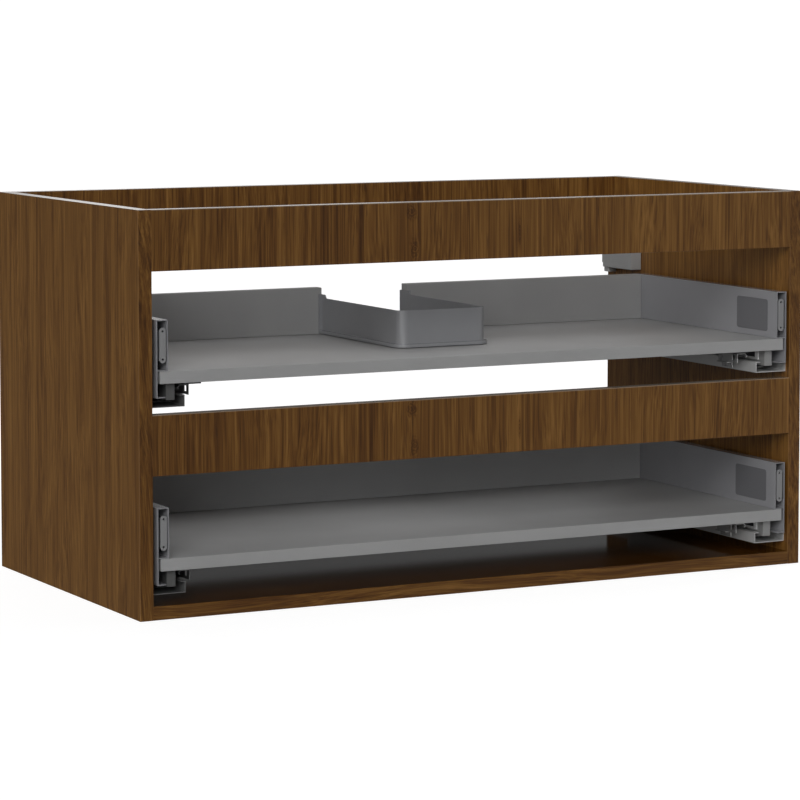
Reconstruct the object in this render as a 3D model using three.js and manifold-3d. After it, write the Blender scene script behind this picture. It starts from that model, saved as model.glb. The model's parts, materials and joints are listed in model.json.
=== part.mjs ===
// Wall-hung bathroom vanity cabinet without its fronts and basin: a carcass of
// veneered board, and two drawers with double steel walls on concealed runners.
// Millimetres, +Z up, the front faces -Y. The origin is the centre of the
// carcass's footprint, at the height of its underside.
import * as THREE from 'three';
import { mergeVertices } from 'three/addons/utils/BufferGeometryUtils.js';
import Module from 'manifold-3d';

const wasm = await Module();
wasm.setup();

// ---- Driving dimensions ----
const WIDTH = 1000;
const DEPTH = 490;
const HEIGHT = 522;
const BOARD = 18; // carcass board thickness
const RAIL_HEIGHT = 78;
const MIDDLE_RAIL_TOP = 262;
const GAP = 0.3; // left between pieces that touch
const PAST = 1; // how far a cutter runs past a face, or a joined piece into its neighbour

const LEVELS = { upper: 271, lower: 32 }; // height of each pair of runners
const SIDES = { left: -1, right: 1 };

// Drawers. Heights count from the runner's underside, widths ("inset") from
// the outer face of the carcass, and lengths from the front plane.
const DRAWER_BOARD = 16;
const DRAWER_BOARD_FOOT = 30;
const DRAWER_BOARD_TOP = DRAWER_BOARD_FOOT + DRAWER_BOARD;
const DRAWER_BOARD_INSET = 29;
const DRAWER_DEPTH = 374;
const WALL_TOP = 111.5;
const WALL_FOOT = 12;
const WALL_OUTER = 24;
const WALL_INNER = 40;
const WALL_SHEET = 1.5;
const WALL_EDGE = 0.8; // radius along the top of the wall
const WALL_HEM = 36; // inset that the hem under the wall reaches
const CAP_START = 22;
const CAP_LENGTH = 77;
const CAP_FOOT = 55;
const CAP_HEIGHT = 44.5;
const CAP_THICKNESS = 1;
const CAP_RADIUS = 4;
const SLOT_MARGIN = 10; // from the cap's rim to the service slot behind it
const PLATE = { inset: [28.3, 37.1], height: [56.5, 101.5], front: 0, thickness: 2.5 };
const PLATE_BLOCK = { inset: [25.8, 38.2], height: [60, 98], start: 2, end: 30 };
const PLATE_RADIUS = 4.3; // nearly a half round at each end
const PLATE_HOLES = { radius: 1.5, depth: 12, heights: [61.1, 96.9] };

// Recess for the siphon, in the middle of the upper drawer's rear half
const RECESS = { halfWidth: 67.5, front: 120, wall: 1.6, radius: 14, top: 97 };
const RECESS_FLANGE = { width: 4.5, clearance: 1.2, thickness: 4.5 };
const RECESS_POST = { top: 102, stepFoot: 345, stepHead: 349.5, lip: 5.5, lipThickness: 2.2 };
const BACK_GAP = 67.5; // half the gap between the two halves of the upper drawer's back

// Runners
const STEEL = 1.2;
const RUNNER = { setback: 10, length: 400, foot: -1, inner: 67, flange: 17.5, wall: 14, lip: 60 };
const MIDDLE = {
  setback: 44, length: 320, foot: [33, 64], lift: 1.5, footTop: 3.5, riser: [44, 50], top: 26,
};
const INNER = { legs: [41, 53], foot: 8, end: 372, radius: 2.5 };
const SCREW = { radius: 2, hole: 2.4, head: 3.8, headThickness: 1.9, length: 13, height: 9 };
const CROSS_RECESS = { arm: 2.6, halfWidth: 0.8, depth: 1 };
const SCREW_PLACES = { front: 47, rear: 303 };

// Locking device under each front corner of a drawer
const CLIP = { inset: [70, 96], start: 23, end: 83, foot: 25.5 };
const LEVER_START = 33;
const LEVER_END = 81;
const LEVER_LINE = [[68.6, 18], [66.5, 20.7], [69.7, 24.3], [83, 24.3], [83, 10.7]];
const LEVER_WINDOW = { place: [39, 46], height: [14.5, 22] };
const LEVER_FOOT = { start: 55, strip: [71, 86], stripHeight: [9.5, 10.7], leg: [76.1, 77.3], legFoot: 3 };
const PIN = { inset: 76, place: 73, radius: 2, hole: 2.4, foot: 12 };

// Cabinet hangers, in the top rear corners
const HANGER = { inset: [18.3, 36.4], place: [394, 475], height: [386, 442], shell: 1.6 };
const HANGER_FOOT = { inset: [20, 34], place: [462, 475], height: [379, 387] };
const BRACKET = { inset: [18.3, 34.2], place: [398, 471], height: [391, 437] };
const BRACKET_REBATE = { inset: 29, start: 404, height: [396, 422] };
const HOOK = { inset: [29.4, 33.4], start: 414, shoulder: 473, lipStart: 477, end: 482 };
const HOOK_HEIGHTS = { foot: 397, top: 421, tongueFoot: 401, tongueTop: 410, lipFoot: 392 };
const HOOK_RADII = { corner: 2, throat: 1.5, nose: 4 };
const ADJUSTER = { radius: 3.2, holes: [[409, 429], [460, 429]], depth: 2 };

const ARC_STEPS = 6;
const ROUND = 16; // sides of a small cylinder

// ---- Materials ----
function material(color, roughness, metalness) {
  return new THREE.MeshStandardMaterial({ color, roughness, metalness });
}
const WALNUT = material(0x5b4020, 0.55, 0);
const GREY_BOARD = material(0x7c7c7c, 0.6, 0);
const GREY_STEEL = material(0x6c6d6e, 0.5, 0.3);
const CAP_PLASTIC = material(0x565758, 0.5, 0);
const INSERT_PLASTIC = material(0x5c5d5f, 0.4, 0);
const DARK_PLASTIC = material(0x2e2f30, 0.5, 0);
const GALVANISED = material(0x9a9a98, 0.35, 0.9);
const BRIGHT_STEEL = material(0xc4c4c2, 0.25, 1);

// ---- Places ----
// x of a point set in from the outer face on one side of the carcass
function across(side, inset) {
  return side * (WIDTH / 2 - inset);
}

// y of a point behind the front plane
function behind(distance) {
  return distance - DEPTH / 2;
}

function range(a, b) {
  return [Math.min(a, b), Math.max(a, b)];
}

// ---- Shapes ----
function block([x0, x1], [y0, y1], [z0, z1]) {
  const box = new THREE.BoxGeometry(x1 - x0, y1 - y0, z1 - z0);
  return box.translate((x0 + x1) / 2, (y0 + y1) / 2, (z0 + z1) / 2);
}

// A block on one side of the carcass, by insets, distances from the front and heights
function sideBlock(side, insets, places, heights) {
  const xs = insets.map((inset) => across(side, inset));
  return block(range(...xs), places.map(behind), heights);
}

function prism(outline, length) {
  const shape = new THREE.Shape(outline.map(([u, v]) => new THREE.Vector2(u, v)));
  return new THREE.ExtrudeGeometry(shape, { depth: length, bevelEnabled: false });
}

const X = new THREE.Vector3(1, 0, 0);
const Y = new THREE.Vector3(0, 1, 0);
const Z = new THREE.Vector3(0, 0, 1);

// Outline of [y, z] points, extruded between two x
function alongX(outline, [from, to]) {
  const turn = new THREE.Matrix4().makeBasis(Y, Z, X);
  return prism(outline, to - from).applyMatrix4(turn).translate(from, 0, 0);
}

// Outline of [x, z] points, extruded between two y
function alongY(outline, [from, to]) {
  const turn = new THREE.Matrix4().makeBasis(Z, X, Y);
  return prism(outline.map(([x, z]) => [z, x]), to - from).applyMatrix4(turn).translate(0, from, 0);
}

// Outline of [x, y] points, extruded between two z
function alongZ(outline, [from, to]) {
  return prism(outline, to - from).translate(0, 0, from);
}

function rectangle([u0, u1], [v0, v1]) {
  return [[u0, v0], [u1, v0], [u1, v1], [u0, v1]];
}

// The same outline with each corner turned into an arc of its radius
function rounded(outline, radii) {
  return outline.flatMap((corner, i) => {
    if (!radii[i]) return [corner];
    const point = new THREE.Vector2(...corner);
    const before = new THREE.Vector2(...outline.at(i - 1)).sub(point).normalize();
    const after = new THREE.Vector2(...outline[(i + 1) % outline.length]).sub(point).normalize();
    const half = Math.acos(before.dot(after)) / 2;
    const centre = before.clone().add(after).normalize().multiplyScalar(radii[i] / Math.sin(half)).add(point);
    const tangent = radii[i] / Math.tan(half);
    const start = point.clone().addScaledVector(before, tangent).sub(centre);
    const end = point.clone().addScaledVector(after, tangent).sub(centre);
    const sweep = Math.atan2(start.cross(end), start.dot(end));
    return Array.from({ length: ARC_STEPS + 1 }, (_, step) => {
      const spoke = start.clone().rotateAround(new THREE.Vector2(), (sweep * step) / ARC_STEPS);
      return [centre.x + spoke.x, centre.y + spoke.y];
    });
  });
}

// Outline of a sheet folded along a line: the line is one face, the other lies to its left
function folded(line, thickness) {
  const normals = line.slice(1).map(([u, v], i) => {
    const along = new THREE.Vector2(u - line[i][0], v - line[i][1]).normalize();
    return new THREE.Vector2(-along.y, along.x);
  });
  const other = line.map(([u, v], i) => {
    const first = normals[Math.max(i - 1, 0)];
    const second = normals[Math.min(i, normals.length - 1)];
    const mitre = first.clone().add(second).multiplyScalar(thickness / (1 + first.dot(second)));
    return [u + mitre.x, v + mitre.y];
  });
  return [...line, ...other.reverse()];
}

// A cylinder along one axis, from a point on its centre line
function rod(radius, length, axis, [x, y, z]) {
  const turn = new THREE.Quaternion().setFromUnitVectors(Y, axis);
  const cylinder = new THREE.CylinderGeometry(radius, radius, length, ROUND).translate(0, length / 2, 0);
  return cylinder.applyQuaternion(turn).translate(x, y, z);
}

// ---- Joining and cutting ----
function solid(geometry) {
  const plain = geometry.clone();
  plain.deleteAttribute('normal');
  plain.deleteAttribute('uv');
  const merged = mergeVertices(plain, 1e-4);
  const vertProperties = merged.attributes.position.array;
  return new wasm.Manifold(new wasm.Mesh({
    numProp: 3, vertProperties, triVerts: Uint32Array.from(merged.index.array),
  }));
}

function surface(manifold) {
  const { vertProperties, triVerts } = manifold.getMesh();
  const geometry = new THREE.BufferGeometry();
  geometry.setAttribute('position', new THREE.BufferAttribute(vertProperties, 3));
  geometry.setIndex(new THREE.BufferAttribute(triVerts, 1));
  geometry.computeVertexNormals();
  return geometry;
}

function join(first, ...others) {
  return surface(others.reduce((whole, other) => whole.add(solid(other)), solid(first)));
}

function cut(piece, ...tools) {
  return surface(tools.reduce((left, tool) => left.subtract(solid(tool)), solid(piece)));
}

function add(group, name, geometry, look) {
  const mesh = new THREE.Mesh(geometry, look);
  mesh.name = name;
  group.add(mesh);
}

// ---- Carcass ----
const INNER_WIDTH = [BOARD - WIDTH / 2, WIDTH / 2 - BOARD];
const FULL_DEPTH = [-DEPTH / 2, DEPTH / 2];
const FRONT_BOARD = [0, BOARD].map(behind);
const REAR_BOARD = [DEPTH - BOARD, DEPTH].map(behind);

function screwCentres(side) {
  return Object.values(LEVELS).flatMap((level) => Object.values(SCREW_PLACES).map(
    (place) => [across(side, BOARD), behind(place), level + SCREW.height]));
}

function sidePanel(side) {
  const panel = sideBlock(side, [0, BOARD], [0, DEPTH], [0, HEIGHT]);
  const outward = X.clone().multiplyScalar(side);
  const depth = SCREW.length - STEEL + GAP;
  return cut(panel, ...screwCentres(side).map(([x, y, z]) => (
    rod(SCREW.hole, depth + PAST, outward, [x - side * PAST, y, z]))));
}

function addCarcass(group) {
  for (const [name, side] of Object.entries(SIDES)) {
    add(group, `side_panel_${name}`, sidePanel(side), WALNUT);
  }
  const top = [HEIGHT - RAIL_HEIGHT, HEIGHT];
  const middle = [MIDDLE_RAIL_TOP - RAIL_HEIGHT, MIDDLE_RAIL_TOP];
  add(group, 'bottom_panel', block(INNER_WIDTH, FULL_DEPTH, [0, BOARD]), WALNUT);
  add(group, 'front_rail_top', block(INNER_WIDTH, FRONT_BOARD, top), WALNUT);
  add(group, 'front_rail_middle', block(INNER_WIDTH, FRONT_BOARD, middle), WALNUT);
  add(group, 'rear_rail_top', block(INNER_WIDTH, REAR_BOARD, top), WALNUT);
}

// ---- Hangers ----
function hangerCover(side) {
  const { inset, place, height, shell } = HANGER;
  const box = sideBlock(side, inset, place, height);
  const foot = sideBlock(side, HANGER_FOOT.inset, HANGER_FOOT.place, HANGER_FOOT.height);
  const inside = sideBlock(
    side, [inset[0] - PAST, inset[1] - shell], [place[0] + shell, place[1] + PAST],
    [height[0] + shell, height[1] - shell]);
  return cut(join(box, foot), inside);
}

function hangerBracket(side) {
  const { inset, place, height } = BRACKET;
  const body = sideBlock(side, inset, place, height);
  const rebate = sideBlock(
    side, [BRACKET_REBATE.inset, inset[1] + PAST], [BRACKET_REBATE.start, place[1] + PAST],
    BRACKET_REBATE.height);
  const inward = X.clone().multiplyScalar(side);
  const face = across(side, inset[1] + PAST);
  const sockets = ADJUSTER.holes.map(([distance, z]) => (
    rod(ADJUSTER.radius, ADJUSTER.depth + PAST, inward, [face, behind(distance), z])));
  return cut(body, rebate, ...sockets);
}

function hangerHook(side) {
  const { start, shoulder, lipStart, end, inset } = HOOK;
  const { foot, top, tongueFoot, tongueTop, lipFoot } = HOOK_HEIGHTS;
  const { corner, throat, nose } = HOOK_RADII;
  const outline = [
    [start, foot], [shoulder, foot], [shoulder, tongueFoot], [lipStart, tongueFoot], [lipStart, lipFoot],
    [end, lipFoot], [end, tongueTop], [shoulder, tongueTop], [shoulder, top], [start, top],
  ];
  const radii = [corner, 0, 0, throat, 0, 0, nose, 0, corner, corner];
  const xs = range(...inset.map((distance) => across(side, distance)));
  return alongX(rounded(outline.map(([y, z]) => [behind(y), z]), radii), xs);
}

function addHangers(group) {
  for (const [name, side] of Object.entries(SIDES)) {
    add(group, `hanger_cover_${name}`, hangerCover(side), GREY_STEEL);
    add(group, `hanger_bracket_${name}`, hangerBracket(side), GALVANISED);
    add(group, `hanger_hook_${name}`, hangerHook(side), GALVANISED);
  }
}

// ---- Runners ----
function sideLine(side, line) {
  return line.map(([inset, z]) => [across(side, inset), z]);
}

// Channel screwed to the side panel, folded from one sheet
function runnerChannel(side) {
  const { setback, length, foot, inner, flange, wall, lip } = RUNNER;
  const line = [
    [BOARD, flange], [BOARD, foot], [inner, foot], [inner, wall], [lip, wall],
  ];
  const channel = alongY(sideLine(side, folded(line, STEEL)), [setback, setback + length].map(behind));
  const outward = X.clone().multiplyScalar(side);
  const start = across(side, BOARD + STEEL + PAST);
  const holes = Object.values(SCREW_PLACES).map((place) => (
    rod(SCREW.hole, STEEL + 2 * PAST, outward, [start, behind(place), SCREW.height])));
  return cut(channel, ...holes);
}

// Middle member: a flat foot with a hollow riser, which runs at half the drawer's speed
function runnerMiddle(side) {
  const { setback, length, foot, lift, footTop, riser, top } = MIDDLE;
  const outline = [
    [foot[0], lift], [foot[1], lift], [foot[1], footTop], [riser[1], footTop],
    [riser[1], top], [riser[0], top], [riser[0], footTop], [foot[0], footTop],
  ];
  const end = setback + length;
  const hollow = sideBlock(
    side, [riser[0] + STEEL, riser[1] - STEEL], [setback - PAST, end + PAST], [footTop, top - STEEL]);
  return cut(alongY(sideLine(side, outline), [setback, end].map(behind)), hollow);
}

// Drawer member: a channel open downwards, with its front end closed
function runnerInner(side) {
  const { legs, foot, end, radius } = INNER;
  const places = [RUNNER.setback, end];
  const top = DRAWER_BOARD_FOOT - GAP;
  const bar = sideLine(side, rounded(rectangle(legs, [foot, top]), [0, 0, radius, radius]));
  const inside = sideBlock(
    side, [legs[0] + STEEL, legs[1] - STEEL], [places[0] + STEEL, end + PAST], [foot - PAST, top - STEEL]);
  return cut(alongY(bar, places.map(behind)), inside);
}

function runnerScrew(side, place) {
  const outward = X.clone().multiplyScalar(side);
  const seat = BOARD + STEEL;
  const headStart = seat + SCREW.headThickness;
  const centre = (inset) => [across(side, inset), behind(place), SCREW.height];
  const shank = rod(SCREW.radius, SCREW.length + PAST, outward, centre(seat + PAST));
  const head = rod(SCREW.head, SCREW.headThickness - GAP, outward, centre(headStart));
  const { arm, halfWidth, depth } = CROSS_RECESS;
  const slots = [[arm, halfWidth], [halfWidth, arm]].map(([along, up]) => sideBlock(
    side, [headStart - depth, headStart + PAST], [place - along, place + along],
    [SCREW.height - up, SCREW.height + up]));
  return cut(join(head, shank), ...slots);
}

function addRunners(group, level) {
  for (const [name, side] of Object.entries(SIDES)) {
    add(group, `runner_channel_${level}_${name}`, runnerChannel(side), GALVANISED);
    add(group, `runner_middle_${level}_${name}`, runnerMiddle(side), GALVANISED);
    add(group, `runner_inner_${level}_${name}`, runnerInner(side), GALVANISED);
    for (const [end, place] of Object.entries(SCREW_PLACES)) {
      add(group, `runner_screw_${level}_${name}_${end}`, runnerScrew(side, place), BRIGHT_STEEL);
    }
  }
}

// ---- Drawer ----
// Double wall: a hollow that stands on the board, and a skin that runs on down to a hem
function drawerWall(side) {
  const outline = [
    [WALL_OUTER, WALL_FOOT], [WALL_HEM, WALL_FOOT], [WALL_HEM, WALL_FOOT + WALL_SHEET],
    [WALL_OUTER + WALL_SHEET, WALL_FOOT + WALL_SHEET], [WALL_OUTER + WALL_SHEET, DRAWER_BOARD_TOP + GAP],
    [WALL_INNER, DRAWER_BOARD_TOP + GAP], [WALL_INNER, WALL_TOP], [WALL_OUTER, WALL_TOP],
  ];
  const radii = [0, 0, 0, 0, 0, 0, WALL_EDGE, WALL_EDGE];
  const hollow = sideBlock(
    side, [WALL_OUTER + WALL_SHEET, WALL_INNER - WALL_SHEET], [-PAST, DRAWER_DEPTH + PAST],
    [DRAWER_BOARD_TOP + GAP + WALL_SHEET, WALL_TOP - WALL_SHEET]);
  const wall = alongY(sideLine(side, rounded(outline, radii)), [0, DRAWER_DEPTH].map(behind));
  return cut(wall, hollow, serviceSlot(side, 0, [WALL_INNER - WALL_SHEET - PAST, WALL_INNER + PAST]));
}

// Block with the outline of the slot behind the cover cap, smaller by a margin
function serviceSlot(side, margin, insets) {
  const inner = SLOT_MARGIN + margin;
  return sideBlock(
    side, insets, [CAP_START + inner, CAP_START + CAP_LENGTH - inner],
    [CAP_FOOT + inner, CAP_FOOT + CAP_HEIGHT - inner]);
}

function coverCap(side) {
  const places = [CAP_START, CAP_START + CAP_LENGTH].map(behind);
  const outline = rounded(
    rectangle(places, [CAP_FOOT, CAP_FOOT + CAP_HEIGHT]), Array(4).fill(CAP_RADIUS));
  const xs = range(across(side, WALL_INNER), across(side, WALL_INNER + CAP_THICKNESS));
  const stub = serviceSlot(side, GAP, [WALL_INNER - WALL_SHEET, WALL_INNER + CAP_THICKNESS / 2]);
  return join(alongX(outline, xs), stub);
}

// Plate that a drawer front is screwed to, with its block in the hollow of the wall
function frontPlate(side) {
  const { inset, height, front, thickness } = PLATE;
  const outline = rounded(rectangle(inset, height), Array(4).fill(PLATE_RADIUS));
  const plate = alongY(sideLine(side, outline), [front, front + thickness].map(behind));
  const stem = sideBlock(side, PLATE_BLOCK.inset, [PLATE_BLOCK.start, PLATE_BLOCK.end], PLATE_BLOCK.height);
  const middle = (inset[0] + inset[1]) / 2;
  const holes = PLATE_HOLES.heights.map((z) => (
    rod(PLATE_HOLES.radius, PLATE_HOLES.depth + PAST, Y, [across(side, middle), behind(front - PAST), z])));
  return cut(join(plate, stem), ...holes);
}

// Plan of the siphon recess: a U open to the rear, grown outwards by a margin
function recessPlan(margin, rear) {
  const half = RECESS.halfWidth + margin;
  const front = behind(RECESS.front - margin);
  const radius = RECESS.radius + margin;
  const outline = [[-half, front], [half, front], [half, behind(rear)], [-half, behind(rear)]];
  return rounded(outline, [radius, radius, 0, 0]);
}

function drawerBoard(level) {
  const insets = [DRAWER_BOARD_INSET, WIDTH - DRAWER_BOARD_INSET];
  const heights = [DRAWER_BOARD_FOOT, DRAWER_BOARD_TOP];
  const board = sideBlock(SIDES.left, insets, [0, DRAWER_DEPTH], heights);
  if (level !== 'upper') return board;
  return cut(board, alongZ(recessPlan(GAP, DRAWER_DEPTH + PAST), [heights[0] - PAST, heights[1] + PAST]));
}

function drawerBack(side, end) {
  const places = [DRAWER_DEPTH - DRAWER_BOARD, DRAWER_DEPTH];
  return sideBlock(side, [WALL_INNER + GAP, end], places, [DRAWER_BOARD_TOP + GAP, WALL_TOP]);
}

// Channel behind the recess that grips the end of one half of the drawer's back
function recessPost(side) {
  const { top, lip, lipThickness } = RECESS_POST;
  const rear = DRAWER_DEPTH + GAP + lipThickness;
  const front = DRAWER_DEPTH - DRAWER_BOARD - GAP - lipThickness;
  const outer = side * (BACK_GAP + lip);
  const inner = side * (RECESS.halfWidth - RECESS.wall);
  const foot = DRAWER_BOARD_TOP + GAP;
  const post = block(range(outer, inner), [front, rear].map(behind), [foot, top]);
  const panel = block(
    range(side * (BACK_GAP - GAP), outer + side * PAST),
    [front + lipThickness, rear - lipThickness].map(behind), [foot - PAST, top + PAST]);
  return cut(post, panel);
}

function siphonRecess() {
  const { wall, halfWidth, top } = RECESS;
  const { stepFoot, stepHead } = RECESS_POST;
  const rear = DRAWER_DEPTH + GAP + RECESS_POST.lipThickness;
  const outer = alongZ(recessPlan(0, rear), [DRAWER_BOARD_FOOT, RECESS_POST.top]);
  const start = RECESS.front - PAST;
  const head = RECESS_POST.top + PAST;
  const inner = alongZ(recessPlan(-wall, rear + PAST), [DRAWER_BOARD_FOOT - PAST, head]);
  const notch = [[start, top], [stepFoot, top], [stepHead, head], [start, head]];
  const overTop = alongX(notch.map(([y, z]) => [behind(y), z]), [-halfWidth - PAST, halfWidth + PAST]);
  const foot = DRAWER_BOARD_TOP + RECESS_FLANGE.clearance;
  const flangeEnd = DRAWER_DEPTH - DRAWER_BOARD - GAP - RECESS_POST.lipThickness + PAST;
  const flange = alongZ(recessPlan(RECESS_FLANGE.width, flangeEnd), [foot, foot + RECESS_FLANGE.thickness]);
  const shell = cut(join(cut(outer, overTop), flange), inner);
  return join(shell, recessPost(SIDES.left), recessPost(SIDES.right));
}

function pinFoot(side) {
  return [across(side, PIN.inset), behind(PIN.place), PIN.foot];
}

// Housing of the locking device under the board, with the pin its lever turns on
function lockingClip(side) {
  const housing = sideBlock(side, CLIP.inset, [CLIP.start, CLIP.end], [CLIP.foot, DRAWER_BOARD_FOOT - GAP]);
  return join(housing, rod(PIN.radius, CLIP.foot - PIN.foot + PAST, Z, pinFoot(side)));
}

// Bent steel lever: a hooked sheet with a window, on a foot that reaches back beside the runner
function releaseLever(side) {
  const line = sideLine(side, folded(LEVER_LINE, -STEEL));
  const sheet = alongY(line, [LEVER_START, LEVER_END].map(behind));
  const { start, strip, stripHeight, leg, legFoot } = LEVER_FOOT;
  const deck = sideBlock(side, strip, [start, LEVER_END], stripHeight);
  const heel = sideBlock(side, leg, [start, LEVER_END], [legFoot, stripHeight[1]]);
  const { place, height } = LEVER_WINDOW;
  const plate = LEVER_LINE.at(-1)[0];
  const window = sideBlock(side, [plate - 2 * PAST, plate + 2 * PAST], place, height);
  const pin = rod(PIN.hole, CLIP.foot - PIN.foot, Z, pinFoot(side));
  return cut(join(sheet, deck, heel), window, pin);
}

function addDrawer(group, level) {
  add(group, `${level}_drawer_bottom`, drawerBoard(level), GREY_BOARD);
  if (level === 'lower') {
    add(group, 'lower_drawer_back', drawerBack(SIDES.left, WIDTH - WALL_INNER - GAP), GREY_BOARD);
  } else {
    add(group, 'siphon_recess', siphonRecess(), INSERT_PLASTIC);
  }
  for (const [name, side] of Object.entries(SIDES)) {
    if (level === 'upper') {
      add(group, `upper_drawer_back_${name}`, drawerBack(side, WIDTH / 2 - BACK_GAP), GREY_BOARD);
    }
    add(group, `${level}_drawer_wall_${name}`, drawerWall(side), GREY_STEEL);
    add(group, `${level}_cover_cap_${name}`, coverCap(side), CAP_PLASTIC);
    add(group, `${level}_front_plate_${name}`, frontPlate(side), GREY_STEEL);
    add(group, `${level}_locking_clip_${name}`, lockingClip(side), DARK_PLASTIC);
    add(group, `${level}_release_lever_${name}`, releaseLever(side), BRIGHT_STEEL);
  }
}

// ---- Assembly ----
const group = new THREE.Group();
addCarcass(group);
addHangers(group);
for (const [level, height] of Object.entries(LEVELS)) {
  const storey = new THREE.Group();
  storey.position.z = height;
  addRunners(storey, level);
  addDrawer(storey, level);
  group.add(storey);
}

export default group;
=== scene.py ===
"""Looks of a wall-hung bathroom vanity cabinet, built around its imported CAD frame.

Everything is in metres in the frame's own axes: +X right, +Y towards the wall, +Z up.
"""
import json
import math

import bmesh
import bpy
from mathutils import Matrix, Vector


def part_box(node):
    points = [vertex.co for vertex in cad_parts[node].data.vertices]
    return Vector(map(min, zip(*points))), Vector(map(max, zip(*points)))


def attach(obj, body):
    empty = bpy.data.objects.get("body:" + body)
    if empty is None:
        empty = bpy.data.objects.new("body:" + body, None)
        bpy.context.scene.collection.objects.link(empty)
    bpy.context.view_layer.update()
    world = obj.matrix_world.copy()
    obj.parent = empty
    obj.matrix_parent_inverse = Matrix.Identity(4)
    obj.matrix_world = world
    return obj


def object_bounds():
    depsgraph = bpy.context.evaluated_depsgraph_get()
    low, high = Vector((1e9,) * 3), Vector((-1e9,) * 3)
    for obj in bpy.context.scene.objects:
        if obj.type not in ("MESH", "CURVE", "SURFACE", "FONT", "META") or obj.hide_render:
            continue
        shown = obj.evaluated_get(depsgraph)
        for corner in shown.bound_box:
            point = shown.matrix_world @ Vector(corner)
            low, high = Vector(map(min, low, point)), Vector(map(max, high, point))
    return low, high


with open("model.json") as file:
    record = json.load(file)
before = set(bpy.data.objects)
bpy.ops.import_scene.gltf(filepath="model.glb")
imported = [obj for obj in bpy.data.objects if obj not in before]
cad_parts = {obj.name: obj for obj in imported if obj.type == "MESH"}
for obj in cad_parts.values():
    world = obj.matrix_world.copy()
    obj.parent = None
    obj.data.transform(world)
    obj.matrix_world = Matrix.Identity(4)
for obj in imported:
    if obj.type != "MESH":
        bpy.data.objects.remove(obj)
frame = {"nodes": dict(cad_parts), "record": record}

CAD_LOW, CAD_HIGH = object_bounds()
NODES = frame["nodes"]
MM = 0.001
SIDES = {"left": -1, "right": 1}
LEVELS = ("upper", "lower")
WHITE_COLOR = (1.0, 1.0, 1.0, 1.0)
SQUARE_ON = 0.7  # a face looks along an axis when that part of its normal is larger than this


# ---- Node trees ----
class Graph:
    """The node tree of a material or world, built up call by call."""

    def __init__(self, owner):
        owner.use_nodes = True
        self.tree = owner.node_tree
        self.tree.nodes.clear()

    def node(self, kind, inputs=None, **settings):
        new = self.tree.nodes.new(kind)
        for key, value in settings.items():
            setattr(new, key, value)
        for key, value in (inputs or {}).items():
            self.feed(new.inputs[key], value)
        return new

    def feed(self, socket, value):
        if isinstance(value, bpy.types.NodeSocket):
            self.tree.links.new(value, socket)
        else:
            socket.default_value = value

    def math(self, operation, a, b=0.0):
        return self.node("ShaderNodeMath", {0: a, 1: b}, operation=operation).outputs[0]

    def add(self, a, b):
        return self.math("ADD", a, b)

    def subtract(self, a, b):
        return self.math("SUBTRACT", a, b)

    def multiply(self, a, b):
        return self.math("MULTIPLY", a, b)

    def noise(self, vector, scale=1.0, detail=2.0, roughness=0.5):
        inputs = {"Vector": vector, "Scale": scale, "Detail": detail, "Roughness": roughness}
        return self.node("ShaderNodeTexNoise", inputs).outputs["Fac"]

    def stretch(self, vector, scale, shift):
        inputs = {"Vector": vector, "Scale": scale, "Location": shift}
        return self.node("ShaderNodeMapping", inputs).outputs[0]

    def span(self, value, low, high, to_low=0.0, to_high=1.0):
        """A smooth step of a value between two places, from one level to another."""
        inputs = {0: value, 1: low, 2: high, 3: to_low, 4: to_high}
        return self.node("ShaderNodeMapRange", inputs, interpolation_type="SMOOTHSTEP").outputs[0]

    def ramp(self, value, stops):
        ramp = self.node("ShaderNodeValToRGB", {"Fac": value})
        elements = ramp.color_ramp.elements
        while len(elements) < len(stops):
            elements.new(0.5)
        for element, (place, color) in zip(elements, stops):
            element.position = place
            element.color = rgba(color)
        return ramp.outputs[0]

    def mix(self, factor, a, b, blend="MIX"):
        inputs = {0: factor, 6: a, 7: b}
        return self.node("ShaderNodeMix", inputs, data_type="RGBA", blend_type=blend).outputs[2]

    def mix_number(self, factor, a, b):
        return self.node("ShaderNodeMix", {0: factor, 2: a, 3: b}).outputs[0]

    def mix_vector(self, factor, a, b):
        return self.node("ShaderNodeMix", {0: factor, 4: a, 5: b}, data_type="VECTOR").outputs[1]

    def bump(self, height, distance, strength):
        inputs = {"Height": height, "Distance": distance, "Strength": strength}
        return self.node("ShaderNodeBump", inputs).outputs[0]

    def place(self):
        return self.node("ShaderNodeTexCoord").outputs["Object"]

    def split(self, vector):
        return self.node("ShaderNodeSeparateXYZ", {0: vector}).outputs

    def join(self, x, y):
        return self.node("ShaderNodeCombineXYZ", {0: x, 1: y}).outputs[0]

    def face_normal(self):
        return self.split(self.node("ShaderNodeNewGeometry").outputs["True Normal"])

    def square_on(self, part):
        """1 on faces that look along the axis of this part of their normal, either way, and 0 elsewhere."""
        return self.math("GREATER_THAN", self.math("ABSOLUTE", part), SQUARE_ON)


class Finish(Graph):
    """A material with one shader, whose plain sockets are given by name."""

    def __init__(self, name, **shader):
        self.material = bpy.data.materials.new(name)
        super().__init__(self.material)
        self.shader = self.node("ShaderNodeBsdfPrincipled", shader)
        self.node("ShaderNodeOutputMaterial", {"Surface": self.shader.outputs[0]})

    def set(self, socket, value):
        self.feed(self.shader.inputs[socket], value)


def srgb(red, green, blue):
    """Linear colour of an 8-bit display colour."""
    parts = [part / 255 for part in (red, green, blue)]
    return tuple(((part + 0.055) / 1.055) ** 2.4 if part > 0.04 else part / 12.92 for part in parts)


def rgba(color):
    return (*color, 1.0)


def shades(color, darkest, lightest):
    """The same colour darker and lighter, as the two ends of a mottle."""
    return [rgba(tuple(part * shade for part in color)) for shade in (darkest, lightest)]


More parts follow.
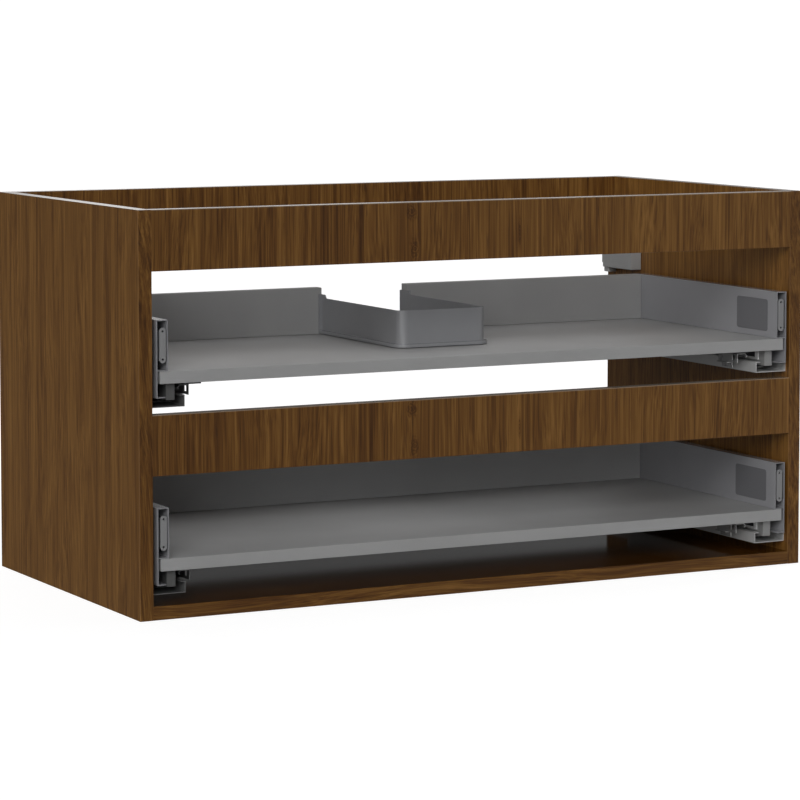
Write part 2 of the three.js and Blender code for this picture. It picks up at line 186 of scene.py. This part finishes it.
# ---- Camera, light and floor ----
CAMERA_PLACE = (-2.1626, -4.1452, 0.7692)
CAMERA_YAW = 27.53
CAMERA_PITCH = 4.531
CAMERA_LENS = 152.0
CAMERA_SENSOR = 36.0
CAMERA_SHIFT = -0.15
WHITE = 1.1  # what the camera sees behind the cabinet
SKY = 0.04
GROUND = 0.1
HORIZON = (-0.05, 0.03)  # heights between which the ground's brightness passes into the sky's
SOFTBOXES = [  # direction, inner and outer half angle in degrees, brightness
    ((-0.55, -0.78, 0.41), 8, 22, 6.4),
    ((-1.00, -0.12, 0.16), 10, 26, 2.1),
    ((0.45, 0.45, 0.77), 25, 45, 0.9),
    ((0.88, -0.47, 0.05), 12, 32, 0.5),
    ((0.85, 0.50, 0.20), 8, 20, 3.0),
    ((-0.87, -0.48, -0.08), 3, 9, 3.0),
    # Low behind the cabinet: what the bottom panel and then the level top edges reflect.
    ((0.46, 0.89, 0.18), 4, 6, 0.06),
    ((0.36, 0.93, 0.04), 2, 4, 0.55),
    ((0.41, 0.91, 0.04), 2, 4, 0.45),
    ((0.47, 0.88, 0.04), 2, 4, 0.35),
    ((0.54, 0.84, 0.04), 2, 4, 0.3),
]
FLOOR_SIZE = 120.0
FLOOR_SHADER = {
    "Base Color": (0.3, 0.3, 0.3, 1.0), "Roughness": 0.9, "Specular IOR Level": 0.0,
    "Emission Color": WHITE_COLOR, "Emission Strength": 0.88,
}


def make_camera():
    data = bpy.data.cameras.new("camera")
    data.lens = CAMERA_LENS
    data.sensor_width = CAMERA_SENSOR
    data.shift_y = CAMERA_SHIFT
    camera = bpy.data.objects.new("camera", data)
    camera.location = CAMERA_PLACE
    camera.rotation_euler = (math.radians(90 - CAMERA_PITCH), 0, -math.radians(CAMERA_YAW))
    bpy.context.scene.collection.objects.link(camera)
    bpy.context.scene.camera = camera


def make_world():
    """A dim room with soft boxes. The camera itself sees plain white."""
    world = bpy.data.worlds.new("studio")
    bpy.context.scene.world = world
    graph = Graph(world)
    toward = graph.node("ShaderNodeTexCoord").outputs["Generated"]
    level = graph.span(graph.split(toward)["Z"], *HORIZON, GROUND, SKY)
    for place, inner, outer, strength in SOFTBOXES:
        pair = {0: toward, 1: tuple(Vector(place).normalized())}
        facing = graph.node("ShaderNodeVectorMath", pair, operation="DOT_PRODUCT").outputs["Value"]
        edge = [math.cos(math.radians(angle)) for angle in (outer, inner)]
        level = graph.add(level, graph.span(facing, *edge, 0.0, strength))
    seen = graph.node("ShaderNodeLightPath").outputs["Is Camera Ray"]
    bright = graph.mix_number(seen, level, WHITE)
    light = graph.node("ShaderNodeBackground", {"Color": WHITE_COLOR, "Strength": bright})
    graph.node("ShaderNodeOutputWorld", {"Surface": light.outputs[0]})


def make_floor():
    """A pale floor just under the cabinet, which takes its shadow but lights and mirrors nothing."""
    half = FLOOR_SIZE / 2
    corners = [(-half, -half, 0), (half, -half, 0), (half, half, 0), (-half, half, 0)]
    mesh = bpy.data.meshes.new("floor")
    mesh.from_pydata(corners, [], [(0, 1, 2, 3)])
    floor = bpy.data.objects.new("floor", mesh)
    floor.location.z = CAD_LOW.z - MM / 2
    bpy.context.scene.collection.objects.link(floor)
    mesh.materials.append(Finish("pale_floor", **FLOOR_SHADER).material)
    floor.visible_glossy = False
    floor.visible_diffuse = False


# ---- Walnut decor ----
GRAIN = {"X": (1, 2, 0), "Y": (2, 0, 1), "Z": (0, 1, 2)}  # order of the axes that puts the grain last
LAYERS = {  # noise scale per metre across and along the grain, detail, roughness
    "bend": (9, 2.2, 1.5, 0.5),
    "bands": (40, 0.9, 2.0, 0.5),
    "streaks": (260, 2.2, 3.0, 0.65),
    "fibres": (700, 8, 2.0, 0.6),
    "lines": (130, 0.6, 1.0, 0.5),
    "pores": (520, 24, 1.0, 0.5),
}
LAYER_SHIFT = (1.37, 2.11, 0.73)  # for each step of a board's seed
WEIGHTS = {"bands": 0.16, "streaks": 0.50, "fibres": 0.34}
WANDER = 0.05
LINE_STEP = (0.66, 0.72)  # where a layer's noise passes into a mark
LINE_TONE = 0.045
PORE_STEP = (0.69, 0.75)
TONES = [
    (0.36, srgb(66, 36, 2)),
    (0.46, srgb(96, 60, 18)),
    (0.53, srgb(116, 78, 30)),
    (0.64, srgb(142, 101, 48)),
]
PORE_COLOR = srgb(62, 38, 17)
PORE_STRENGTH = 0.5
WALNUT_ROUGHNESS = 0.42
FIBRE_BUMP = (0.06 * MM, 0.35)  # height and strength
KNOTS = [  # place across the cabinet and above the rail's foot, and reach each way
    ((-0.112, 0.066), (0.011, 0.016)),
    ((-0.108, 0.016), (0.010, 0.020)),
    ((0.050, 0.034), (0.004, 0.026)),
]
KNOT_HEART = 0.15  # the part of its reach where a knot is full
KNOT_RINGS = 8.0
KNOT_CURL = (150.0, 1.1)  # noise scale, and how many reaches it moves a ring
KNOT_PULL = -0.5
KNOT_TONE = 0.15
RAIL_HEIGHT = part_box("front_rail_top")[1].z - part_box("front_rail_top")[0].z
STRIPE = (-0.184, 0.008)  # the dark stripe's middle and half width
STRIPE_TONE = 0.05
RAIL_PAINTED_LIGHT = (-0.15, 0.25, -0.012, 0.03)  # painted light: two places across the cabinet, and the tone added at each, lighter to the right
# A painted highlight along the rails' top front edge.
RAIL_HIGHLIGHT_HEIGHTS = (RAIL_HEIGHT - 1.3 * MM, RAIL_HEIGHT - 0.5 * MM)
RAIL_HIGHLIGHT_COLOR = srgb(176, 160, 142)
RAIL_HIGHLIGHT_STRENGTH = 0.6
BAND_SLANT = 0.09
BAND_DROP = 0.04  # how much darker a side panel's edge band is than its face
PANEL_LIFT = 0.03  # how much lighter the side panels are than the rails
# A painted highlight along the side panels' outer front corner.
PANEL_CORNER_HIGHLIGHT_COLOR = srgb(168, 128, 84)
PANEL_CORNER_HIGHLIGHT_STRENGTH = 0.5


def grain_space(graph, place, axis):
    """The same point with the grain running along the third axis."""
    parts = graph.split(place)
    inputs = {index: parts[part] for index, part in enumerate(GRAIN[axis])}
    return graph.node("ShaderNodeCombineXYZ", inputs).outputs[0]


def layer(graph, kind, point, shift):
    """One of the decor's layers of noise, drawn out along the grain."""
    across, along, detail, roughness = LAYERS[kind]
    stretched = graph.stretch(point, (across, across, along), shift)
    return graph.noise(stretched, detail=detail, roughness=roughness)


def in_reaches(graph, value, centre, reach):
    """Distance from a centre, counted in reaches."""
    return graph.math("DIVIDE", graph.subtract(value, centre), reach)


def knot(graph, across, along, centre, reach):
    """How near a point is to a knot, the rings round it and how far across from its middle the point lies."""
    u = in_reaches(graph, across, centre[0], reach[0])
    v = in_reaches(graph, along, centre[1], reach[1])
    offset = graph.join(u, v)
    far = graph.node("ShaderNodeVectorMath", {0: offset}, operation="LENGTH").outputs["Value"]
    near = graph.span(far, 1.0, KNOT_HEART)
    curl_scale, curl_reach = KNOT_CURL
    curl = graph.noise(graph.join(across, along), curl_scale)
    curled = graph.add(far, graph.multiply(curl, curl_reach))
    waves = graph.math("SINE", graph.multiply(curled, KNOT_RINGS))
    return near, graph.multiply(graph.math("ABSOLUTE", waves), near), u


def add_knots(graph, across, height, wander):
    """The grain's wander with its pull towards the rail's knots, and the knots' dark rings."""
    marks = 0.0
    for centre, reach in KNOTS:
        near, rings, u = knot(graph, across, height, centre, reach)
        wander = graph.add(wander, graph.multiply(graph.multiply(u, near), KNOT_PULL * reach[0]))
        marks = graph.math("MAXIMUM", marks, rings)
    return wander, marks


def rail_tone(graph, tone, across, marks):
    """A rail's tone with its dark stripe and knots, and painted light that makes it lighter to the right."""
    middle, half_width = STRIPE
    stripe = graph.math("ABSOLUTE", graph.subtract(across, middle))
    tone = graph.subtract(tone, graph.span(stripe, half_width, half_width / 3, 0.0, STRIPE_TONE))
    tone = graph.subtract(tone, graph.multiply(marks, KNOT_TONE))
    # Painted light: the rail grows lighter to the right, as the light falls across it.
    return graph.add(tone, graph.span(across, *RAIL_PAINTED_LIGHT))


def walnut(name, axis, level_axis, seed, rail_foot=None, banded=False, level_roughness=0.1, painted_level_shade=0.0):
    """Satin walnut decor, with the grain along one axis, and along another on faces that look up or down.

    Those level faces have a roughness of their own and can be darkened by painted_level_shade, a painted
    shade.
    A rail has the decor's knots and dark stripe, placed above its foot, grows lighter to the right by painted
    light, and has a painted highlight along its top front edge.
    A banded panel has edge band on the faces that look forwards and back, with its grain aslant,
    and a painted highlight along its outer front corner."""
    graph = Finish(name)
    place = graph.place()
    across, depth, up = graph.split(place)
    normal = graph.face_normal()
    level = graph.square_on(normal["Z"])
    ends = graph.square_on(normal["Y"])
    point = graph.mix_vector(level, grain_space(graph, place, axis), grain_space(graph, place, level_axis))
    shift = tuple(seed * step for step in LAYER_SHIFT)
    wander = graph.multiply(graph.subtract(layer(graph, "bend", point, shift), 0.5), WANDER)
    if banded:
        slant = graph.multiply(graph.split(point)["Z"], BAND_SLANT)
        wander = graph.add(wander, graph.multiply(slant, ends))
    if rail_foot is not None:
        height = graph.subtract(up, rail_foot)
        wander, marks = add_knots(graph, across, height, wander)
    push = {0: point, 1: graph.join(wander, wander)}
    figured = graph.node("ShaderNodeVectorMath", push, operation="ADD").outputs[0]
    layers = {kind: layer(graph, kind, figured, shift) for kind in LAYERS if kind != "bend"}
    bands, streaks, fibres = (graph.multiply(layers[kind], weight) for kind, weight in WEIGHTS.items())
    tone = graph.add(graph.add(bands, streaks), fibres)
    tone = graph.add(tone, graph.span(layers["lines"], *LINE_STEP, 0.0, LINE_TONE))
    if rail_foot is not None:
        tone = rail_tone(graph, tone, across, marks)
    if banded:
        tone = graph.subtract(graph.add(tone, PANEL_LIFT), graph.multiply(ends, BAND_DROP))
    # Painted shade: level faces made darker by painted_level_shade.
    tone = graph.subtract(tone, graph.multiply(level, painted_level_shade))
    color = graph.ramp(tone, TONES)
    pores = graph.span(layers["pores"], *PORE_STEP)
    color = graph.mix(graph.multiply(pores, PORE_STRENGTH), color, rgba(PORE_COLOR))
    if rail_foot is not None:
        # Painted highlight: a light line along the rail's top front edge.
        rail_highlight = graph.span(height, *RAIL_HIGHLIGHT_HEIGHTS)
        color = graph.mix(graph.multiply(rail_highlight, RAIL_HIGHLIGHT_STRENGTH), color, rgba(RAIL_HIGHLIGHT_COLOR))
    if banded:
        # Painted highlight: a light line along the panel's outer front corner.
        rim = graph.span(depth, CAD_LOW.y + 2 * MM, CAD_LOW.y + MM)
        rim = graph.multiply(rim, graph.subtract(1.0, ends))
        color = graph.mix(graph.multiply(rim, PANEL_CORNER_HIGHLIGHT_STRENGTH), color, rgba(PANEL_CORNER_HIGHLIGHT_COLOR))
    graph.set("Base Color", color)
    graph.set("Roughness", graph.mix_number(level, WALNUT_ROUGHNESS, level_roughness))
    graph.set("Normal", graph.bump(layers["fibres"], *FIBRE_BUMP))
    return graph.material


# ---- Other materials ----
MOTTLE = (0.3, 0.7)  # the stretch of a noise over which a mottle passes from one end to the other
LAMINATE_CLOUD, LAMINATE_GRIT = 14.0, 1400.0  # noise scales per metre
COAT_CLOUD = 25.0
STEEL_MOTTLE = 60.0
CASTING_SKIN = 900.0
GRIT_BUMP = (0.05 * MM, 0.3)
SKIN_BUMP = (0.06 * MM, 0.5)
FORWARDS = (-0.5, -0.8)  # the normal's part along Y where a face begins to look forwards, and fully does


def melamine(name, color):
    """Matt laminate with faint clouds and a fine grit."""
    graph = Finish(name, **{"Roughness": 0.5})
    place = graph.place()
    cloud = graph.noise(place, LAMINATE_CLOUD)
    grit = graph.noise(place, LAMINATE_GRIT)
    tone = graph.add(graph.multiply(cloud, 0.5), graph.multiply(grit, 0.5))
    graph.set("Base Color", graph.mix(graph.span(tone, *MOTTLE), *shades(color, 0.95, 1.05)))
    graph.set("Normal", graph.bump(grit, *GRIT_BUMP))
    return graph.material


def powder(name, color, roughness, level_roughness, spread=0.05, grain=900.0, specular=0.5):
    """Powder coat or moulded plastic: an even colour over a fine pebbled skin.

    Faces that look up or down have a roughness of their own."""
    graph = Finish(name, **{"Specular IOR Level": specular})
    place = graph.place()
    cloud = graph.noise(place, COAT_CLOUD)
    skin = graph.noise(place, grain)
    graph.set("Base Color", graph.mix(cloud, *shades(color, 0.93, 1.07)))
    level = graph.square_on(graph.face_normal()["Z"])
    skin_roughness = graph.span(cloud, *MOTTLE, roughness - spread, roughness + spread)
    graph.set("Roughness", graph.mix_number(level, skin_roughness, level_roughness))
    graph.set("Normal", graph.bump(skin, *SKIN_BUMP))
    return graph.material


def steel(name, color, roughness, metallic, shaded, cut_edge_highlight=None):
    """Zinc plated sheet steel with a faint mottle, whose colour a painted shade darkens towards the left,
    down to its shaded part.

    Faces that look forwards, where the sheet is cut, can have another brightness: the bare edge's own, with a
    painted highlight on it."""
    graph = Finish(name, **{"Metallic": metallic})
    place = graph.place()
    mottle = graph.noise(place, STEEL_MOTTLE)
    # Painted shade: darker towards the left, where the left side panel shades the hardware.
    painted_left_shade = graph.span(graph.split(place)["X"], CAD_HIGH.x / 2, CAD_LOW.x / 2)
    tint = graph.mix(mottle, *shades(color, 0.92, 1.05))
    if cut_edge_highlight is not None:
        # Painted highlight on faces that look forwards, on top of the bare cut edge's own brightness.
        forwards = graph.span(graph.face_normal()["Y"], *FORWARDS)
        tint = graph.mix(forwards, tint, rgba((cut_edge_highlight, cut_edge_highlight, cut_edge_highlight)))
    graph.set("Base Color", graph.mix(painted_left_shade, tint, rgba((shaded, shaded, shaded)), "MULTIPLY"))
    graph.set("Roughness", graph.span(mottle, *MOTTLE, roughness - 0.04, roughness + 0.05))
    return graph.material


def casting(name, face, hollow_shade, depth):
    """A grey zinc casting whose face keeps its own grey and whose body, behind the face, is painted dark as
    the shade of the hollow it lies in.
    """
    graph = Finish(name, **{"Roughness": 0.4})
    place = graph.place()
    skin = graph.noise(place, CASTING_SKIN)
    # Painted shade: the body behind the face takes the dark colour of the hollow's shade.
    shaded_body = graph.span(graph.split(place)["Y"], depth - MM / 4, depth + MM / 4)
    graph.set("Base Color", graph.mix(shaded_body, rgba(face), rgba(hollow_shade)))
    graph.set("Normal", graph.bump(skin, *SKIN_BUMP))
    return graph.material


PLATE_FACE = CAD_LOW.y + 1.4 * MM  # how far back a front plate's face keeps its own grey; behind it, painted shade darkens the casting
MATERIALS = {
    "grey_laminate": melamine("grey_laminate", srgb(168, 168, 168)),
    "graphite_steel": powder("graphite_steel", srgb(142, 142, 145), 0.38, 0.12),
    "zinc_casting": casting("zinc_casting", srgb(144, 144, 145), srgb(46, 46, 48), PLATE_FACE),
    "cap_plastic": powder("cap_plastic", srgb(104, 104, 107), 0.5, 0.5, grain=1500.0),
    "recess_plastic": powder("recess_plastic", srgb(138, 139, 142), 0.32, 0.12,
                             spread=0.0, grain=700.0, specular=0.9),
    "hanger_plastic": powder("hanger_plastic", srgb(156, 156, 156), 0.4, 0.4),
    "dark_plastic": powder("dark_plastic", srgb(58, 58, 60), 0.45, 0.45),
    "galvanised_steel": steel("galvanised_steel", (0.46, 0.46, 0.455), 0.36, 0.5, 0.4),
    "bright_steel": steel("bright_steel", (0.3, 0.3, 0.3), 0.3, 0.2, 0.35, cut_edge_highlight=1.0),
}
LATCH = steel("latch_steel", (0.75, 0.75, 0.745), 0.3, 0.2, 0.35, cut_edge_highlight=1.0)
SPECIAL = {  # by words in a node's name
    "runner_channel": steel("galvanised_channel", (0.62, 0.62, 0.615), 0.36, 0.4, 0.3, cut_edge_highlight=0.7),
    # Painted shade: a darker copy of the grey laminate for the drawer backs, which stand in the drawers'
    # shade.
    "_drawer_back": melamine("shaded_drawer_back_laminate", srgb(156, 156, 156)),
}
WALNUT = {
    "side_panel_left": dict(axis="Z", level_axis="Y", banded=True),
    "side_panel_right": dict(axis="Z", level_axis="Y", banded=True),
    "front_rail_top": dict(axis="Z", level_axis="X", rail_foot=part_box("front_rail_top")[0].z),
    "front_rail_middle": dict(axis="Z", level_axis="X", rail_foot=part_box("front_rail_middle")[0].z),
    "rear_rail_top": dict(axis="Z", level_axis="X"),
    # The bottom panel's top is darkened by a painted shade, as it lies in shade under the drawers.
    "bottom_panel": dict(axis="X", level_axis="X", level_roughness=0.09, painted_level_shade=0.09),
}


# ---- Edges of the CAD nodes ----
EDGE_WIDTH = {
    "walnut_laminate": 0.6 * MM,
    "grey_laminate": 0.5 * MM,
    "graphite_steel": 0.35 * MM,
    "zinc_casting": 0.5 * MM,
    "cap_plastic": 0.4 * MM,
    "recess_plastic": 0.8 * MM,
    "hanger_plastic": 1.0 * MM,
    "dark_plastic": 0.6 * MM,
    "galvanised_steel": 0.25 * MM,
    "bright_steel": 0.25 * MM,
}
BEVEL_SEGMENTS = 2
WELD_REACH = 0.01 * MM
FLAT_ANGLE = math.radians(1)
ROUNDED_ANGLE = math.radians(40)
SMOOTH_ANGLE = math.radians(30)


def edge_finish():
    """Geometry nodes that shade faces smooth across gentle edges."""
    group = bpy.data.node_groups.new("edge_finish", "GeometryNodeTree")
    group.interface.new_socket("Geometry", in_out="INPUT", socket_type="NodeSocketGeometry")
    group.interface.new_socket("Geometry", in_out="OUTPUT", socket_type="NodeSocketGeometry")
    nodes, links = group.nodes, group.links
    start, end = nodes.new("NodeGroupInput"), nodes.new("NodeGroupOutput")
    plain = nodes.new("GeometryNodeRemoveAttribute")
    plain.inputs["Name"].default_value = "custom_normal"
    faces = nodes.new("GeometryNodeSetShadeSmooth")
    edges = nodes.new("GeometryNodeSetShadeSmooth")
    edges.domain = "EDGE"
    angle = nodes.new("GeometryNodeInputMeshEdgeAngle")
    gentle = nodes.new("FunctionNodeCompare")
    gentle.operation = "LESS_THAN"
    gentle.inputs["B"].default_value = SMOOTH_ANGLE
    links.new(start.outputs[0], plain.inputs[0])
    links.new(plain.outputs[0], faces.inputs["Geometry"])
    links.new(faces.outputs[0], edges.inputs["Geometry"])
    links.new(angle.outputs["Unsigned Angle"], gentle.inputs["A"])
    links.new(gentle.outputs[0], edges.inputs["Shade Smooth"])
    links.new(edges.outputs[0], end.inputs[0])
    return group


EDGE_FINISH = edge_finish()


def soften(piece, width):
    """Rounds an object's edges and shades it smooth across them."""
    weld = piece.modifiers.new("weld", "WELD")
    weld.merge_threshold = WELD_REACH
    flat = piece.modifiers.new("planar", "DECIMATE")
    flat.decimate_type = "DISSOLVE"
    flat.angle_limit = FLAT_ANGLE
    bevel = piece.modifiers.new("bevel", "BEVEL")
    bevel.width = width
    bevel.segments = BEVEL_SEGMENTS
    bevel.limit_method = "ANGLE"
    bevel.angle_limit = ROUNDED_ANGLE
    finish = piece.modifiers.new("finish", "NODES")
    finish.node_group = EDGE_FINISH
    weighted = piece.modifiers.new("weighted", "WEIGHTED_NORMAL")
    weighted.keep_sharp = True


def finish_nodes():
    """Gives every CAD node its material and its rounded edges."""
    for index, (name, grain) in enumerate(WALNUT.items()):
        NODES[name].data.materials[0] = walnut("walnut_" + name, seed=index + 1, **grain)
    for part in frame["record"]["subparts"]:
        node, finish = part["node"], part["material_slot"]
        if finish in MATERIALS:
            special = [material for words, material in SPECIAL.items() if words in node]
            NODES[node].data.materials[0] = special[0] if special else MATERIALS[finish]
        soften(NODES[node], EDGE_WIDTH[finish])


# ---- Latch frames on the drawer members ----
# Reaches behind the cabinet's front, and above the drawer member's foot.
FRAME_REACH = ((24 * MM, 64 * MM), (7.5 * MM, 21 * MM))
FRAME_HOLE = ((32 * MM, 61 * MM), (10.5 * MM, 18 * MM))
TAB_PLACE = 56 * MM
SHEET = 1.2 * MM
CLEAR = 0.2 * MM


def sheet_mesh(name, solids):
    """An object made of straight solids.

    Each is a list of faces in the YZ plane, the X where it starts and its thickness along X."""
    mesh = bpy.data.meshes.new(name)
    build = bmesh.new()
    for faces, start, thickness in solids:
        corners = {}
        for face in faces:
            for y, z in face:
                if (y, z) not in corners:
                    corners[y, z] = build.verts.new((start, y, z))
        flat = [build.faces.new([corners[point] for point in face]) for face in faces]
        lifted = bmesh.ops.extrude_face_region(build, geom=flat)
        moved = [item for item in lifted["geom"] if isinstance(item, bmesh.types.BMVert)]
        bmesh.ops.translate(build, verts=moved, vec=(thickness, 0, 0))
    bmesh.ops.recalc_face_normals(build, faces=build.faces)
    build.to_mesh(mesh)
    build.free()
    piece = bpy.data.objects.new(name, mesh)
    bpy.context.scene.collection.objects.link(piece)
    return piece


def add_latch_frame(level, name):
    """A steel frame with an upright tab and a dark insert, on the inner face of a drawer member."""
    side = SIDES[name]
    low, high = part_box(f"runner_inner_{level}_{name}")
    start = (low.x if side > 0 else high.x) - side * CLEAR

    def corners(reach, shrink=0.0):
        (near, far), (foot, top) = reach
        near, far, foot, top = near + shrink, far - shrink, foot + shrink, top - shrink
        return [(CAD_LOW.y + y, low.z + z) for y, z in ((near, foot), (far, foot), (far, top), (near, top))]

    rim, hole = corners(FRAME_REACH), corners(FRAME_HOLE)
    ring = [(rim[i], rim[(i + 1) % 4], hole[(i + 1) % 4], hole[i]) for i in range(4)]
    tab_heights = (FRAME_HOLE[1][0], FRAME_REACH[1][1])
    tab = corners(((TAB_PLACE, TAB_PLACE + SHEET), tab_heights))
    tab_start = start - side * (SHEET + CLEAR)
    frame_solids = [(ring, start, -side * SHEET), ([tab], tab_start, -side * 2 * SHEET)]
    insert_solids = [([corners(FRAME_HOLE, CLEAR)], start, -side * SHEET / 3)]
    looks = (
        (f"latch_frame_{level}_{name}", frame_solids, LATCH, "bright_steel"),
        (f"latch_insert_{level}_{name}", insert_solids, MATERIALS["dark_plastic"], "dark_plastic"),
    )
    for title, solids, material, slot in looks:
        piece = sheet_mesh(title, solids)
        piece.data.materials.append(material)
        soften(piece, CLEAR)
        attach(piece, f"{level}_drawer")


# ---- Scene ----
bpy.context.scene.view_settings.view_transform = "Standard"
make_camera()
make_world()
make_floor()
finish_nodes()
for level in LEVELS:
    for name in SIDES:
        add_latch_frame(level, name)
